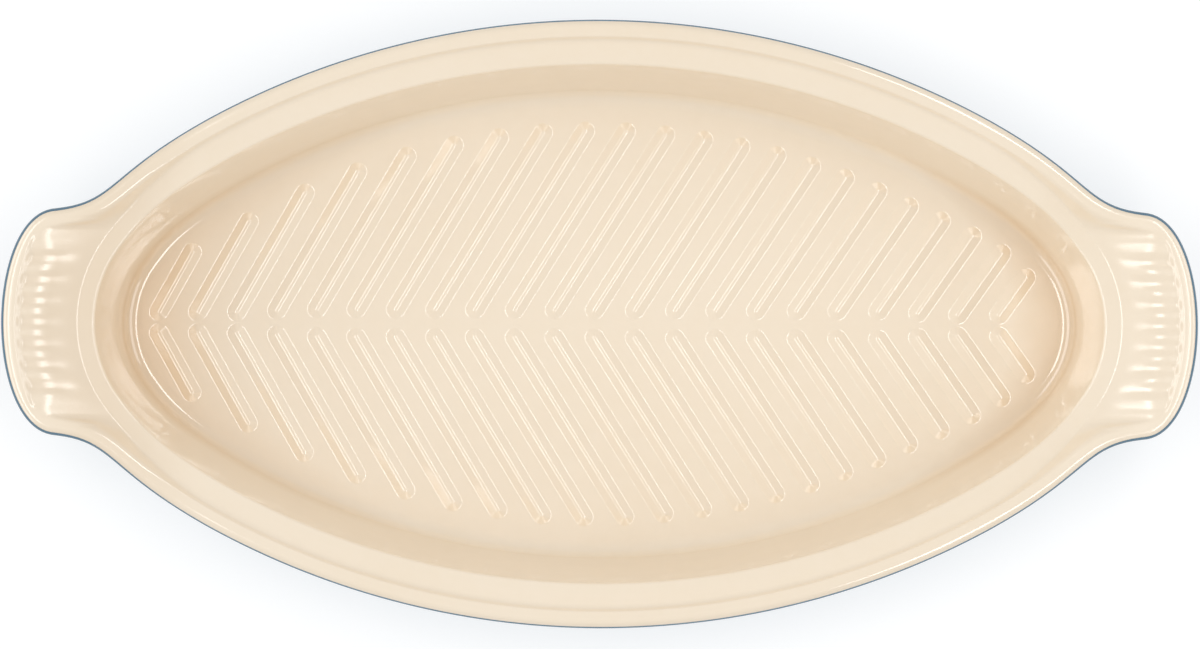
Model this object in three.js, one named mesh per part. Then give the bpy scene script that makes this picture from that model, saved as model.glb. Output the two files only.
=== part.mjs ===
// A pointed-oval stoneware baking dish with two lug handles, fishbone ribs on
// its floor, a cream glaze inside and a blue glaze outside.
// Millimetres, +Z up. X runs along the dish, Y runs across it, and the origin
// lies under its middle, on the surface that it stands on.

import * as THREE from 'three';

// Outer edge of the lip, as an oval without its handles
const OVAL_LENGTH = 364.8;
const OVAL_WIDTH = 204;
const END_RADIUS = 54.6;
const SIDE_ARC_END = 28.6; // degrees of turn from the middle of a side
const END_ARC_START = 55; // degrees of turn from the middle of a side

// Handles
const HANDLE_REACH = 17.6; // from the end of the oval to the handle's tip
const HANDLE_WIDTH = 75.9; // at the end of the oval
const HANDLE_RISE = 4; // tip of the handle above the lip of the sides
const HANDLE_ROOT_TURN = 29.5; // degrees of turn where a handle leaves the oval
const HANDLE_TAPER = 5.9; // degrees between a handle's sides and X
const ROOT_PULL = 37.8; // the next four set how full the handle's curves are
const WAIST_PULL = 20.1;
const CORNER_PULL = 11.8;
const TIP_PULL = 17.8;
const TIP_BROW_INSET = 11.8; // brow from the edge, at the tip of a handle
const TIP_BROW_START = 20; // the brow nears the edge between these distances from X
const TIP_BROW_END = 33;
const GRIP_STEP = 0.8; // fluted flat below the lip of the handle's tip
const GRIP_START = 22; // the step fades between these distances from X
const GRIP_END = 30;

// Lip, and the step and ledge inside it
const SIDE_HEIGHT = 47;
const LIP_WIDTH = 7.2; // outer edge of the oval to the toe of the step
const LIP_THICKNESS = 6;
const LIP_FALL = 0.2;
const SIDE_BROW_INSET = 5.7; // brow of the step from the edge, along the sides
const SIDE_STEP_DROP = 2; // lip of the sides down to the toe of the step
const END_STEP_DROP = 4; // the same under the handles
const SIDE_LEDGE_WIDTH = 7.5;
const END_LEDGE_WIDTH = 5.4;
const LEDGE_BLEND_START = 30; // degrees of turn between which the ledge narrows and drops
const LEDGE_BLEND_END = 52;
const LEDGE_FALL = 0.5;
const LEDGE_ROUND = 0.6;

// Walls, floor and foot
const WALL_DRAFT = 12.2; // degrees from upright
const WALL_THICKNESS = 6.5;
const FLOOR_HEIGHT = 8;
const FLOOR_FILLET = 5.5;
const UNDER_LIP_FILLET = 4;
const BASE_CORNER_HEIGHT = 9;
const FOOT_OVERHANG = 3.2; // foot's outer edge, outside the edge of the floor
const FOOT_WIDTH = 5.5;
const FOOT_SLOPE = 0.8;
const BASE_RECESS = 1.6;

// Fishbone ribs, as two arms to each chevron
const FIRST_RIB_PITCH = 13.25;
const LAST_RIB_PITCH = 14.1;
const RIB_FIRST_INSET = 4.5; // first chevron's point from the -X end of the floor
const RIB_LAST_INSET = 23.2; // last chevron's point from the +X end of the floor
const FIRST_RIB_ANGLE = 61; // degrees from X
const LAST_RIB_ANGLE = 54.5;
const RIB_WIDTH = 7.2;
const RIB_CREST_WIDTH = 2.2;
const RIB_HEIGHT = 1.1;
const RIB_TIP_LENGTH = 3;
const RIB_MIDDLE_GAP = 3; // between the two arms of a chevron
const RIB_END_GAP = 0.4; // the same near both ends of the floor
const GAP_OPENS = [31, 57]; // the gap grows between these distances from the -X end
const GAP_CLOSES = [37, 65]; // and between these distances from the +X end
const RIB_SIDE_MARGIN = 5.6; // between an arm and the edge of the floor
const RIB_END_MARGIN = 2; // the same near both ends of the floor
const MARGIN_OPENS = [-9, 18]; // the margin grows between these distances from the -X end
const MARGIN_CLOSES = [23, 87]; // and between these distances from the +X end

// Grip flutes across the tops of the handles
const FLUTE_COUNT = 8;
const FLUTE_PITCH = 7.15;
const FLUTE_DEPTH = 0.6;

// Glaze
const GLAZE_THICKNESS = 0.5;
const GLAZE_LINE_ANGLE = 35; // degrees up the lip's round edge, where blue meets cream
const BARE_FOOT_HEIGHT = 1;
const BASE_GLAZE_MARGIN = 0.3;

// Fineness of the mesh
const SIDE_STEPS = 6;
const HANDLE_SIDE_STEPS = 6;
const CORNER_ANGLES = [50];
const LIP_EDGE_ANGLES = [-90, -40, 0, GLAZE_LINE_ANGLE, 65, 90];
const FILLET_SHARES = [0, 0.5, 1];
const BISECTION_STEPS = 50;
const EDGE_SAMPLES = 240;
const OUTLINE_SAMPLES = 300;
const ARM_STEP = 0.25;

// The top of the lip or handle, from the crest of its edge (0) to its brow (1),
// where the slope to the ledge starts: shares of the grip step and the flutes' depth
const LIP_TOP = [
  { way: 0.2, grip: 0, flute: 0 },
  { way: 0.38, grip: 1, flute: 0 },
  { way: 0.58, grip: 1, flute: 1 },
  { way: 1, grip: 1, flute: 1 },
];
const FLUTE_END = 0.53; // share of the slope that the flutes run down

const radians = THREE.MathUtils.degToRad;
const blend = THREE.MathUtils.lerp;
const ease = THREE.MathUtils.smoothstep;
const QUARTER_TURN = Math.PI / 2;

// Finds where a test that starts true turns false
function bisect(low, high, isBefore) {
  for (let step = 0; step < BISECTION_STEPS; step += 1) {
    const middle = (low + high) / 2;
    if (isBefore(middle)) {
      low = middle;
    } else {
      high = middle;
    }
  }
  return (low + high) / 2;
}

// The oval: a side arc, a shoulder arc and an end arc that meet smoothly.
// Each place on it is named by its turn, the angle between its normal and +Y.
function makeOval() {
  const sideTurn = radians(SIDE_ARC_END);
  const endTurn = radians(END_ARC_START);
  const lengthLeft = OVAL_LENGTH / 2 - END_RADIUS * (1 - Math.sin(endTurn));
  const widthLeft = OVAL_WIDTH / 2 - END_RADIUS * Math.cos(endTurn);
  const sideRun = Math.sin(sideTurn);
  const sideDrop = 1 - Math.cos(sideTurn);
  const shoulderRun = Math.sin(endTurn) - Math.sin(sideTurn);
  const shoulderDrop = Math.cos(sideTurn) - Math.cos(endTurn);
  const scale = sideRun * shoulderDrop - shoulderRun * sideDrop;
  const sideRadius = (lengthLeft * shoulderDrop - shoulderRun * widthLeft) / scale;
  const shoulderRadius = (sideRun * widthLeft - lengthLeft * sideDrop) / scale;
  const arcs = [
    { start: 0, end: sideTurn, radius: sideRadius },
    { start: sideTurn, end: endTurn, radius: shoulderRadius },
    { start: endTurn, end: QUARTER_TURN, radius: END_RADIUS },
  ];
  return (turn, inset) => {
    const normal = new THREE.Vector2(Math.sin(turn), Math.cos(turn));
    const point = new THREE.Vector2(0, OVAL_WIDTH / 2);
    for (const arc of arcs) {
      const reached = THREE.MathUtils.clamp(turn, arc.start, arc.end);
      point.x += arc.radius * (Math.sin(reached) - Math.sin(arc.start));
      point.y -= arc.radius * (Math.cos(arc.start) - Math.cos(reached));
    }
    return { point: point.addScaledVector(normal, -inset), normal };
  };
}

const oval = makeOval();
const seatAt = (turn) => oval(turn, LIP_WIDTH);

// One quarter of the handle's outline, from its root on the oval to its tip
function makeHandleOutline() {
  const root = oval(radians(HANDLE_ROOT_TURN), 0).point;
  const waist = new THREE.Vector2(OVAL_LENGTH / 2, HANDLE_WIDTH / 2);
  const tip = new THREE.Vector2(OVAL_LENGTH / 2 + HANDLE_REACH, 0);
  const ahead = (point, degrees, reach) => new THREE.Vector2(
    point.x + reach * Math.cos(radians(degrees)),
    point.y - reach * Math.sin(radians(degrees)),
  );
  const outline = new THREE.CurvePath();
  outline.add(new THREE.CubicBezierCurve(
    root,
    ahead(root, HANDLE_ROOT_TURN, ROOT_PULL),
    ahead(waist, HANDLE_TAPER, -WAIST_PULL),
    waist,
  ));
  outline.add(new THREE.CubicBezierCurve(
    waist,
    ahead(waist, HANDLE_TAPER, CORNER_PULL),
    new THREE.Vector2(tip.x, TIP_PULL),
    tip,
  ));
  return outline;
}

const handleOutline = makeHandleOutline();
const lipRadius = LIP_THICKNESS / 2;
const tipReach = OVAL_LENGTH / 2 + HANDLE_REACH;
const rootReach = oval(radians(HANDLE_ROOT_TURN), 0).point.x;
const lipHeightAt = (x) => SIDE_HEIGHT + HANDLE_RISE * ease(Math.abs(x), rootReach, tipReach);

// Distance of a place in plan from the outer edge of the lip and handles
function outlinePoints() {
  const points = handleOutline.getPoints(OUTLINE_SAMPLES);
  for (let step = 0; step < OUTLINE_SAMPLES; step += 1) {
    points.push(oval(radians(HANDLE_ROOT_TURN) * step / OUTLINE_SAMPLES, 0).point);
  }
  return points;
}

const outline = outlinePoints();

function edgeDistance(place) {
  const folded = new THREE.Vector2(Math.abs(place.x), Math.abs(place.y));
  return Math.min(...outline.map((point) => point.distanceTo(folded)));
}

// A station is one section across the rim: a place on the outer edge, and the
// place on the seat line that the section runs in to
function sideStation(turn) {
  const edge = oval(turn, 0);
  const seat = seatAt(turn);
  return {
    edge: edge.point,
    edgeNormal: edge.normal,
    seat: seat.point,
    seatNormal: seat.normal,
    turn,
    flute: 0,
  };
}

function handleEdge(way) {
  const point = handleOutline.getPoint(way);
  const tangent = handleOutline.getTangent(way);
  const normal = new THREE.Vector2(-tangent.y, tangent.x);
  return { point, normal, crestY: point.y - lipRadius * normal.y };
}

function handleStation(way, flute) {
  const edge = handleEdge(way);
  const rootTurn = radians(HANDLE_ROOT_TURN);
  const rootCrestY = handleEdge(0).crestY;
  const fluteSpan = FLUTE_COUNT * FLUTE_PITCH / 2;
  const shift = Math.max(0, (edge.crestY - fluteSpan) / (rootCrestY - fluteSpan));
  const seatY = edge.crestY - (rootCrestY - seatAt(rootTurn).point.y) * shift ** 2;
  const turn = bisect(rootTurn, QUARTER_TURN, (tried) => seatAt(tried).point.y > seatY);
  const seat = seatAt(turn);
  return {
    edge: edge.point,
    edgeNormal: edge.normal,
    seat: seat.point,
    seatNormal: seat.normal,
    turn,
    flute,
  };
}

// Stations of one quarter, from the middle of the +Y side to the +X tip
function quarterStations() {
  const stations = [];
  for (let step = 0; step < SIDE_STEPS; step += 1) {
    stations.push(sideStation(radians(HANDLE_ROOT_TURN) * step / SIDE_STEPS));
  }
  const wayOfFlute = (half) => bisect(0, 1, (way) => handleEdge(way).crestY > half * FLUTE_PITCH / 2);
  const flutesStart = wayOfFlute(FLUTE_COUNT);
  for (let step = 0; step < HANDLE_SIDE_STEPS; step += 1) {
    stations.push(handleStation(flutesStart * step / HANDLE_SIDE_STEPS, 0));
  }
  for (let half = FLUTE_COUNT; half >= 0; half -= 1) {
    const isGroove = half < FLUTE_COUNT && (FLUTE_COUNT - half) % 2 === 0;
    const way = half > 0 ? wayOfFlute(half) : 1;
    stations.push(handleStation(way, isGroove ? 1 : 0));
  }
  return stations;
}

function mirrored(station, signX, signY) {
  const sign = new THREE.Vector2(signX, signY);
  return {
    ...station,
    edge: station.edge.clone().multiply(sign),
    edgeNormal: station.edgeNormal.clone().multiply(sign),
    seat: station.seat.clone().multiply(sign),
    seatNormal: station.seatNormal.clone().multiply(sign),
  };
}

// All stations, anticlockwise from the +X tip
function allStations() {
  const quarter = quarterStations();
  const backward = [...quarter].reverse();
  const last = quarter.length - 1;
  return [
    ...backward.slice(0, last),
    ...quarter.slice(0, last).map((station) => mirrored(station, -1, 1)),
    ...backward.slice(0, last).map((station) => mirrored(station, -1, -1)),
    ...quarter.slice(0, last).map((station) => mirrored(station, 1, -1)),
  ];
}

// Section through the wall and floor at a station, as insets from the seat line
function wallSection(turn) {
  const endShare = ease(turn, radians(LEDGE_BLEND_START), radians(LEDGE_BLEND_END));
  const draft = radians(WALL_DRAFT);
  const ledgeInset = blend(SIDE_LEDGE_WIDTH, END_LEDGE_WIDTH, endShare);
  const toeHeight = SIDE_HEIGHT - blend(SIDE_STEP_DROP, END_STEP_DROP, endShare);
  const ledgeHeight = toeHeight - LEDGE_FALL;
  const wallTop = ledgeHeight - 2 * LEDGE_ROUND;
  const innerInset = (height) => ledgeInset + LEDGE_ROUND + (wallTop - height) * Math.tan(draft);
  const filletTop = FLOOR_HEIGHT + FLOOR_FILLET * (1 - Math.sin(draft));
  const floorInset = innerInset(filletTop) + FLOOR_FILLET * Math.cos(draft);
  return {
    draft,
    ledgeInset,
    toeHeight,
    ledgeHeight,
    wallTop,
    floorInset,
    innerInset,
    outerInset: (height) => innerInset(height) - WALL_THICKNESS,
  };
}

// Finished surface at a station as named points, from under the base, round
// the outside and the lip, to the edge of the floor
function sectionPoints(station) {
  const section = wallSection(station.turn);
  const points = [];
  const addInset = (name, inset, height) => {
    const place = station.seat.clone().addScaledVector(station.seatNormal, -inset);
    points.push({ name, point: new THREE.Vector3(place.x, place.y, height) });
  };

  // Foot ring and base corner
  const footOuter = section.floorInset - FOOT_OVERHANG;
  const footInner = footOuter + FOOT_WIDTH;
  addInset('base_edge', footInner + FOOT_SLOPE, BASE_RECESS);
  addInset('foot_inner', footInner, 0);
  addInset('foot_outer', footOuter, 0);
  const cornerStart = footOuter - FOOT_SLOPE;
  const cornerEnd = section.outerInset(BASE_CORNER_HEIGHT);
  addInset('outer_glaze_start', cornerStart, BARE_FOOT_HEIGHT);
  for (const angle of CORNER_ANGLES) {
    const inset = blend(cornerStart, cornerEnd, Math.sin(radians(angle)));
    const height = blend(BASE_CORNER_HEIGHT, BARE_FOOT_HEIGHT, Math.cos(radians(angle)));
    addInset('base_corner', inset, height);
  }
  addInset('outer_wall_foot', cornerEnd, BASE_CORNER_HEIGHT);

  // Outside of the wall, up to the underside of the lip
  const underside = SIDE_HEIGHT - LIP_THICKNESS;
  const outerTop = section.outerInset(underside - UNDER_LIP_FILLET);
  for (const share of FILLET_SHARES) {
    const angle = share * QUARTER_TURN;
    const inset = outerTop - UNDER_LIP_FILLET * (1 - Math.cos(angle));
    addInset('under_lip', inset, underside - UNDER_LIP_FILLET * (1 - Math.sin(angle)));
  }

  // Round edge of the lip, which climbs along the handle
  const lipHeight = lipHeightAt(station.edge.x);
  const lipAt = (inset) => station.edge.clone().addScaledVector(station.edgeNormal, -inset);
  for (const angle of LIP_EDGE_ANGLES) {
    const place = lipAt(lipRadius * (1 - Math.cos(radians(angle))));
    const height = lipHeight - lipRadius * (1 - Math.sin(radians(angle)));
    const name = angle === GLAZE_LINE_ANGLE ? 'glaze_line' : 'lip_edge';
    points.push({ name, point: new THREE.Vector3(place.x, place.y, height) });
  }

  // Top of the lip or handle, over its brow and down the slope to the ledge
  const crest = lipAt(lipRadius);
  const fromMiddle = Math.abs(crest.y);
  const browInset = blend(TIP_BROW_INSET, SIDE_BROW_INSET, ease(fromMiddle, TIP_BROW_START, TIP_BROW_END));
  const inward = (way) => crest.clone().lerp(station.seat, way);
  const brow = inward(bisect(0, 1, (way) => edgeDistance(inward(way)) < browInset));
  const browHeight = lipHeightAt(brow.x) - LIP_FALL;
  const gripStep = GRIP_STEP * (1 - ease(fromMiddle, GRIP_START, GRIP_END));
  const addTop = (place, height) => {
    points.push({ name: 'lip_top', point: new THREE.Vector3(place.x, place.y, height) });
  };
  for (const { way, grip, flute } of LIP_TOP) {
    const level = blend(lipHeight, browHeight, way);
    const height = level - gripStep * grip - FLUTE_DEPTH * flute * station.flute;
    addTop(crest.clone().lerp(brow, way), height);
  }
  const slopeHeight = blend(browHeight - gripStep, section.toeHeight, FLUTE_END);
  addTop(brow.clone().lerp(station.seat, FLUTE_END), slopeHeight);

  // Ledge, inside of the wall and the fillet into the floor
  addInset('toe', 0, section.toeHeight);
  addInset('ledge', section.ledgeInset - LEDGE_ROUND, section.ledgeHeight);
  addInset('inner_wall_top', section.ledgeInset + LEDGE_ROUND, section.wallTop);
  for (const share of FILLET_SHARES) {
    const angle = blend(section.draft, QUARTER_TURN, share);
    const inset = section.floorInset - FLOOR_FILLET * Math.cos(angle);
    addInset('floor_fillet', inset, FLOOR_HEIGHT + FLOOR_FILLET * (1 - Math.sin(angle)));
  }
  return points;
}

// Finished rings and the clay rings under the glaze, as lists of points
function makeRings() {
  const sections = allStations().map(sectionPoints);
  const names = sections[0].map((entry) => entry.name);
  const finished = names.map((name, ring) => sections.map((section) => section[ring].point));
  const stationCount = sections.length;
  const lastRing = names.length - 1;
  const normalAt = (ring, index) => {
    if (ring === lastRing) {
      return new THREE.Vector3(0, 0, 1);
    }
    const here = finished[ring][index];
    const next = finished[ring][(index + 1) % stationCount];
    const previous = finished[ring][(index + stationCount - 1) % stationCount];
    const around = next.clone().sub(previous).normalize();
    const above = finished[ring + 1][index].clone().sub(here).normalize();
    const below = here.clone().sub(finished[ring - 1][index]).normalize();
    return around.cross(above.add(below)).normalize();
  };
  const firstGlazed = names.indexOf('outer_glaze_start');
  const clay = finished.map((points, ring) => points.map((point, index) => {
    if (names[ring] === 'base_edge') {
      return point.clone().setZ(BASE_RECESS + GLAZE_THICKNESS);
    }
    if (ring < firstGlazed) {
      return point.clone();
    }
    return point.clone().addScaledVector(normalAt(ring, index), -GLAZE_THICKNESS);
  }));
  return { names, finished, clay };
}

// Arms of the fishbone, each as the stretch of its crest line that stays clear
// of the edge of the floor
function floorEdgeSamples() {
  const samples = [];
  for (let step = 0; step <= EDGE_SAMPLES; step += 1) {
    const turn = QUARTER_TURN * step / EDGE_SAMPLES;
    samples.push(oval(turn, LIP_WIDTH + wallSection(turn).floorInset).point);
  }
  return samples;
}

function ribArms() {
  const edge = floorEdgeSamples();
  const floorEnd = edge.at(-1).x;
  const clearance = (point) => {
    const folded = new THREE.Vector2(Math.abs(point.x), Math.abs(point.y));
    const nearest = edge.reduce((best, place) => (
      place.distanceToSquared(folded) < best.distanceToSquared(folded) ? place : best
    ));
    const isInside = nearest.x ** 2 + nearest.y ** 2 > folded.lengthSq();
    return isInside ? nearest.distanceTo(folded) : 0;
  };
  const span = 2 * floorEnd - RIB_FIRST_INSET - RIB_LAST_INSET;
  const meanPitch = (FIRST_RIB_PITCH + LAST_RIB_PITCH) / 2;
  const lastRib = Math.round(span / meanPitch);
  const arms = [];
  for (let rib = 0; rib <= lastRib; rib += 1) {
    const share = rib / lastRib;
    const fromStart = RIB_FIRST_INSET + span * share * blend(FIRST_RIB_PITCH / meanPitch, 1, share);
    const fromEnd = 2 * floorEnd - fromStart;
    const gapShare = ease(fromStart, ...GAP_OPENS) * ease(fromEnd, ...GAP_CLOSES);
    const gap = blend(RIB_END_GAP, RIB_MIDDLE_GAP, gapShare);
    const marginShare = ease(fromStart, ...MARGIN_OPENS) * ease(fromEnd, ...MARGIN_CLOSES);
    const margin = blend(RIB_END_MARGIN, RIB_SIDE_MARGIN, marginShare);
    const point = new THREE.Vector2(fromStart - floorEnd, 0);
    const angle = radians(blend(FIRST_RIB_ANGLE, LAST_RIB_ANGLE, share));
    const along = new THREE.Vector2(Math.cos(angle), Math.sin(angle));
    const at = (reach) => point.clone().addScaledVector(along, reach);
    const start = gap / 2 / along.y;
    let end = start + 2 * RIB_TIP_LENGTH + RIB_WIDTH;
    while (clearance(at(end + ARM_STEP)) >= margin) {
      end += ARM_STEP;
    }
    arms.push({ start: at(start), end: at(end), along, side: 1 });
    arms.push({ start: at(start), end: at(end), along, side: -1 });
  }
  return arms;
}

// Base outline (six points) and flat crest (four points) of an arm, in plan.
// Both run anticlockwise, and the base starts at the arm's inner tip.
function armOutline({ start, end, along, side }) {
  const across = new THREE.Vector2(-along.y, along.x);
  const place = (origin, forward, sideways) => origin.clone()
    .addScaledVector(along, forward)
    .addScaledVector(across, sideways);
  const half = RIB_WIDTH / 2;
  const crestHalf = RIB_CREST_WIDTH / 2;
  const base = [
    start.clone(),
    place(start, RIB_TIP_LENGTH, -half),
    place(end, -RIB_TIP_LENGTH, -half),
    end.clone(),
    place(end, -RIB_TIP_LENGTH, half),
    place(start, RIB_TIP_LENGTH, half),
  ];
  const crest = [
    place(start, RIB_TIP_LENGTH, -crestHalf),
    place(end, -RIB_TIP_LENGTH, -crestHalf),
    place(end, -RIB_TIP_LENGTH, crestHalf),
    place(start, RIB_TIP_LENGTH, crestHalf),
  ];
  if (side < 0) {
    const mirror = new THREE.Vector2(1, -1);
    for (const point of [...base, ...crest]) {
      point.multiply(mirror);
    }
    base.push(...base.splice(1).reverse());
    crest.reverse();
    crest.unshift(crest.pop());
  }
  return { base, crest };
}

// Triangles of an arm's tips, flanks and crest, between the corners of its base and crest
function armTriangles(base, crest) {
  const [innerTip, innerRight, outerRight, outerTip, outerLeft, innerLeft] = base;
  const [crestInnerRight, crestOuterRight, crestOuterLeft, crestInnerLeft] = crest;
  return [
    [innerTip, innerRight, crestInnerRight],
    [innerTip, crestInnerRight, crestInnerLeft],
    [innerTip, crestInnerLeft, innerLeft],
    [innerRight, outerRight, crestOuterRight],
    [innerRight, crestOuterRight, crestInnerRight],
    [outerTip, crestOuterRight, outerRight],
    [outerTip, crestOuterLeft, crestOuterRight],
    [outerTip, outerLeft, crestOuterLeft],
    [outerLeft, innerLeft, crestInnerLeft],
    [outerLeft, crestInnerLeft, crestOuterLeft],
    [crestInnerRight, crestOuterRight, crestOuterLeft],
    [crestInnerRight, crestOuterLeft, crestInnerLeft],
  ];
}

// A closed skin gathers shared points and triangles for one piece
class Skin {
  constructor() {
    this.numbers = new Map();
    this.positions = [];
    this.indices = [];
  }

  number(point) {
    if (!this.numbers.has(point)) {
      this.numbers.set(point, this.positions.length / 3);
      this.positions.push(point.x, point.y, point.z);
    }
    return this.numbers.get(point);
  }

  triangle(first, second, third) {
    this.indices.push(this.number(first), this.number(second), this.number(third));
  }

  // Joins two rings. Faces look outward where the second ring follows the
  // first on the way from the base to the floor.
  band(first, second) {
    first.forEach((point, index) => {
      const next = (index + 1) % first.length;
      this.triangle(point, first[next], second[next]);
      this.triangle(point, second[next], second[index]);
    });
  }

  bandBack(first, second) {
    first.forEach((point, index) => {
      const next = (index + 1) % first.length;
      this.triangle(point, second[next], first[next]);
      this.triangle(point, second[index], second[next]);
    });
  }

  // Closes a level ring with a fan round its middle
  fan(ring, facesUp) {
    const middle = new THREE.Vector3(0, 0, ring[0].z);
    ring.forEach((point, index) => {
      const next = ring[(index + 1) % ring.length];
      if (facesUp) {
        this.triangle(middle, point, next);
      } else {
        this.triangle(middle, next, point);
      }
    });
  }

  patch(triangles, facesUp) {
    for (const [first, second, third] of triangles) {
      if (facesUp) {
        this.triangle(first, second, third);
      } else {
        this.triangle(first, third, second);
      }
    }
  }

  mesh(name, material) {
    const geometry = new THREE.BufferGeometry();
    geometry.setAttribute('position', new THREE.Float32BufferAttribute(this.positions, 3));
    geometry.setIndex(this.indices);
    geometry.computeVertexNormals();
    const mesh = new THREE.Mesh(geometry, material);
    mesh.name = name;
    return mesh;
  }
}

// Ribbed floor inside a ring, as triangles that face up
function floorPatch(ring, arms) {
  const height = ring[0].z;
  const lifted = (place, lift) => new THREE.Vector3(place.x, place.y, height + lift);
  const outlines = arms.map(armOutline);
  const bases = outlines.map(({ base }) => base.map((place) => lifted(place, 0)));
  const contour = ring.map((point) => new THREE.Vector2(point.x, point.y));
  const holes = outlines.map(({ base }) => [...base].reverse());
  const points = [...ring, ...bases.flatMap((base) => [...base].reverse())];
  const triangles = THREE.ShapeUtils.triangulateShape(contour, holes)
    .map((corners) => corners.map((corner) => points[corner]));
  outlines.forEach(({ crest }, index) => {
    triangles.push(...armTriangles(bases[index], crest.map((place) => lifted(place, RIB_HEIGHT))));
  });
  return triangles;
}

const { names, finished, clay } = makeRings();
const arms = ribArms();
const firstOuter = names.indexOf('outer_glaze_start');
const glazeLine = names.indexOf('glaze_line');
const lastRing = names.length - 1;
const clayFloor = floorPatch(clay[lastRing], arms);
const glazedFloor = floorPatch(finished[lastRing], arms);

// Clay body, with its handles, ribs and foot
function stonewareBody() {
  const skin = new Skin();
  skin.fan(clay[0], false);
  for (let ring = 0; ring < lastRing; ring += 1) {
    skin.band(clay[ring], clay[ring + 1]);
  }
  skin.patch(clayFloor, true);
  const material = new THREE.MeshStandardMaterial({ color: 0xd9c4a3, roughness: 0.9, metalness: 0 });
  return skin.mesh('stoneware_body', material);
}

// Cream coat over the floor, wall, ledge, lip and handle tops
function interiorGlaze() {
  const skin = new Skin();
  skin.band(clay[glazeLine], finished[glazeLine]);
  for (let ring = glazeLine; ring < lastRing; ring += 1) {
    skin.band(finished[ring], finished[ring + 1]);
    skin.bandBack(clay[ring], clay[ring + 1]);
  }
  skin.patch(glazedFloor, true);
  skin.patch(clayFloor, false);
  const material = new THREE.MeshStandardMaterial({ color: 0xf4e5cb, roughness: 0.15, metalness: 0 });
  return skin.mesh('interior_glaze', material);
}

// Blue coat from the lip's edge down the outside to just above the foot
function exteriorGlaze() {
  const skin = new Skin();
  for (let ring = firstOuter; ring < glazeLine; ring += 1) {
    skin.band(finished[ring], finished[ring + 1]);
    skin.bandBack(clay[ring], clay[ring + 1]);
  }
  skin.bandBack(clay[glazeLine], finished[glazeLine]);
  skin.band(clay[firstOuter], finished[firstOuter]);
  const material = new THREE.MeshStandardMaterial({ color: 0x3f6288, roughness: 0.18, metalness: 0 });
  return skin.mesh('exterior_glaze', material);
}

// Blue coat on the recessed base, inside the bare foot
function baseGlaze() {
  const skin = new Skin();
  const share = 1 - BASE_GLAZE_MARGIN / (OVAL_WIDTH / 2);
  const level = (height) => clay[0].map((point) => (
    new THREE.Vector3(point.x * share, point.y * share, height)
  ));
  const lower = level(BASE_RECESS);
  const upper = level(BASE_RECESS + GLAZE_THICKNESS);
  skin.fan(lower, false);
  skin.band(lower, upper);
  skin.fan(upper, true);
  const material = new THREE.MeshStandardMaterial({ color: 0x3f6288, roughness: 0.2, metalness: 0 });
  return skin.mesh('base_glaze', material);
}

const dish = new THREE.Group();
dish.add(stonewareBody(), interiorGlaze(), exteriorGlaze(), baseGlaze());

export default dish;
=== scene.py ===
# A pointed-oval stoneware baking dish with two lug handles and a fishbone floor,
# cream glazed inside and blue glazed outside, seen from straight above.
# The dish's own lengths are in millimetres, and become metres when a mesh is made.

import math
from types import SimpleNamespace

import bpy
import numpy as np
from mathutils import Euler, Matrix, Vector
from mathutils.geometry import tessellate_polygon


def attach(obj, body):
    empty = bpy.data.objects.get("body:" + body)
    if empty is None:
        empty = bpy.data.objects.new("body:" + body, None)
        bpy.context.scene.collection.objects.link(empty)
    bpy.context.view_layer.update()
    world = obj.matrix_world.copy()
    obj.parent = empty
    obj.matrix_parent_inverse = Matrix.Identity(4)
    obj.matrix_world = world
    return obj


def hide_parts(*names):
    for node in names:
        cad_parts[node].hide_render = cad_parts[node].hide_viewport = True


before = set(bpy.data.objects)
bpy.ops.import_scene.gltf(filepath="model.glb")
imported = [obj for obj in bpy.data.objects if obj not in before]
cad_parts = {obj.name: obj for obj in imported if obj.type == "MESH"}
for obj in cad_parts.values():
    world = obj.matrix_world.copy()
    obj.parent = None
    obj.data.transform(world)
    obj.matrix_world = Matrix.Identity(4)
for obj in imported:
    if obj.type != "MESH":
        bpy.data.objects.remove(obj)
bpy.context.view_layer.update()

MM = 0.001
QUARTER_TURN = math.pi / 2

# Outer edge of the lip, as an oval without its handles
OVAL_LENGTH = 364.8
OVAL_WIDTH = 204.0
END_RADIUS = 54.6
SIDE_ARC_END = 28.6  # degrees of turn from the middle of a side
END_ARC_START = 55.0  # degrees of turn from the middle of a side

# Handles
HANDLE_REACH = 17.6  # from the end of the oval to the handle's tip
HANDLE_WIDTH = 75.9  # at the end of the oval
HANDLE_RISE = 4.0  # tip of the handle above the lip of the sides
HANDLE_ROOT_TURN = 29.5  # degrees of turn where a handle leaves the oval
HANDLE_TAPER = 5.9  # degrees between a handle's sides and X
ROOT_PULL = 37.8  # the four pulls set how full the handle's curves are
WAIST_PULL = 20.1
CORNER_PULL = 11.8
TIP_PULL = 17.8

# Lip, and its brow, step and ledge
SIDE_HEIGHT = 47.0
LIP_WIDTH = 7.2  # outer edge of the oval to the toe of the step
LIP_THICKNESS = 6.0
LIP_RADIUS = LIP_THICKNESS / 2
LIP_TOP_ANGLE = 90.0  # degrees up the lip's round edge
LIP_UNDERSIDE_ANGLE = -90.0
LIP_FALL = 0.2
SIDE_BROW_INSET = 5.7  # brow of the step from the edge, along the sides
TIP_BROW_INSET = 11.8  # the same at the tip of a handle
TIP_BROW_START = 20.0  # the brow nears the edge between these distances from X
TIP_BROW_END = 33.0
GRIP_STEP = 0.8  # fluted flat below the lip of the handle's tip
GRIP_START = 22.0  # the step fades between these distances from X
GRIP_END = 30.0
GRIP_EDGE_WAY = 0.2  # share of the way from the lip's crest to the brow
GRIP_FOOT_WAY = 0.36
SIDE_STEP_DROP = 2.0  # lip of the sides down to the toe of the step
END_STEP_DROP = 4.0  # the same under the handles
SIDE_LEDGE_WIDTH = 7.5
END_LEDGE_WIDTH = 5.4
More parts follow.
